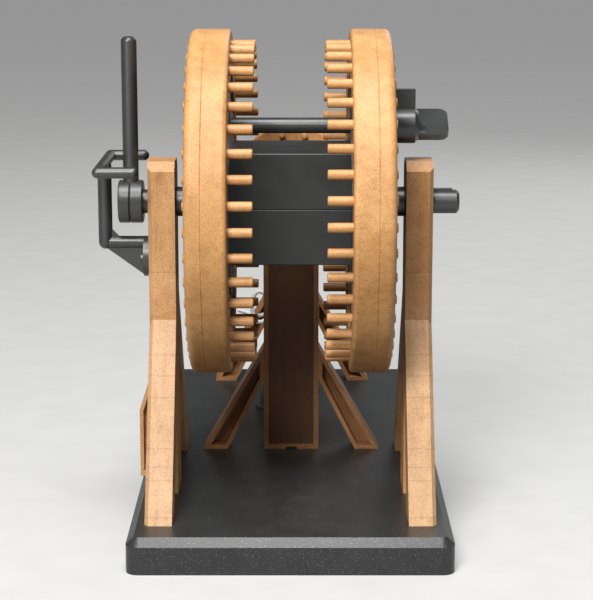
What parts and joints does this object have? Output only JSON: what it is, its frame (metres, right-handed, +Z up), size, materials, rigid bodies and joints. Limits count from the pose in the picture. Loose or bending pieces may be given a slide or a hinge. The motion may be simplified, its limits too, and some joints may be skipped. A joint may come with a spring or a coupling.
{
  "type": "wooden crank gear toy",
  "caption": "Desk model of a rope hoist: a rocking lever drives two facing wooden peg wheels and a lantern pinion that winds a string over a base.",
  "frame": {"origin": "underside of the base, directly below the middle of the cross axle", "axes": "+X to the right along the cross axle, away from the lever; +Y to the rear along the line shaft; +Z up"},
  "size_m": [0.116, 0.2201, 0.1617],
  "materials": {
    "base": "dark grey with a fine speckle",
    "black": "satin black moulding",
    "frame_wood": "stained light brown wood",
    "dark_wood": "stained mid brown wood",
    "wheel_wood": "stained golden brown wood",
    "string": "white twisted string",
    "steel": "plain"
  },
  "bodies": {
    "frame": {"base_plate": "base", "left_post": "frame_wood", "right_post": "frame_wood", "left_head": "dark_wood", "right_head": "dark_wood", "left_front_leg": "frame_wood", "right_front_leg": "frame_wood", "left_rear_leg": "frame_wood", "right_rear_leg": "frame_wood", "left_buttress": "dark_wood", "front_trestle_post": "dark_wood", "front_left_brace": "dark_wood", "front_right_brace": "dark_wood", "rear_trestle_post": "dark_wood", "rear_left_brace": "dark_wood", "rear_right_brace": "dark_wood", "lever_guide": "black", "guide_screws": "steel"},
    "rocker": {"axle_shaft": "black", "lever_hub_outer": "black", "lever_hub_inner": "black", "lever_rod": "black", "block_upper": "black", "block_lower": "black", "left_carrier": "black", "right_carrier": "black", "left_collar": "black", "right_collar": "black"},
    "release": {"pawl_shaft": "black", "release_paddle": "black", "left_pawl_lug": "black", "right_pawl_lug": "black"},
    "left_catch": {"left_pawl": "black", "left_pawl_spring": "steel"},
    "right_catch": {"right_pawl": "black", "right_pawl_spring": "steel"},
    "left_wheel": {"left_inner_ring": "wheel_wood", "left_outer_ring": "wheel_wood", "left_pegs": "wheel_wood"},
    "right_wheel": {"right_inner_ring": "wheel_wood", "right_outer_ring": "wheel_wood", "right_pegs": "wheel_wood"},
    "line": {"pinion_disc": "wheel_wood", "pinion_staves": "wheel_wood", "line_shaft": "dark_wood", "shaft_collars": "dark_wood", "rope_drum": "wheel_wood", "rope_winding": "string"},
    "load": {"load_weight": "base", "load_hook": "black", "rope_bow": "string", "rope_fall": "string"}
  },
  "joints": [
    {"name": "lever_swing", "type": "hinge", "parent": "frame", "child": "rocker", "pos_m": [0, 0, 0.1067], "axis": [1, 0, 0], "range_deg": [-50, 50]},
    {"name": "left_wheel_turn", "type": "hinge", "parent": "frame", "child": "left_wheel", "pos_m": [0, 0, 0.1067], "axis": [1, 0, 0], "continuous": true},
    {"name": "right_wheel_turn", "type": "hinge", "parent": "frame", "child": "right_wheel", "pos_m": [0, 0, 0.1067], "axis": [1, 0, 0], "continuous": true},
    {"name": "shaft_turn", "type": "hinge", "parent": "frame", "child": "line", "pos_m": [0, 0.1, 0.10773], "axis": [0, 1, 0], "continuous": true},
    {"name": "release_turn", "type": "hinge", "parent": "rocker", "child": "release", "pos_m": [0, 0, 0.1312], "axis": [-1, 0, 0], "range_deg": [0, 12], "stiffness_Nm_per_rad": 0.002, "springref_deg": -11.46},
    {"name": "left_pawl_turn", "type": "hinge", "parent": "rocker", "child": "left_catch", "pos_m": [0, 0, 0.1312], "axis": [-1, 0, 0], "range_deg": [0, 12]},
    {"name": "right_pawl_turn", "type": "hinge", "parent": "rocker", "child": "right_catch", "pos_m": [0, 0, 0.1312], "axis": [-1, 0, 0], "range_deg": [0, 12]},
    {"name": "load_lift", "type": "slide", "parent": "frame", "child": "load", "axis": [0, 0, 1], "range_m": [0, 0.03], "deforming": ["rope_fall"]}
  ],
  "couplings": [
    {"joint": "right_wheel_turn", "follows": "left_wheel_turn", "ratio": -1},
    {"joint": "shaft_turn", "follows": "left_wheel_turn", "ratio": 3.3333},
    {"joint": "left_pawl_turn", "follows": "release_turn", "ratio": 1},
    {"joint": "right_pawl_turn", "follows": "release_turn", "ratio": 1}
  ]
}
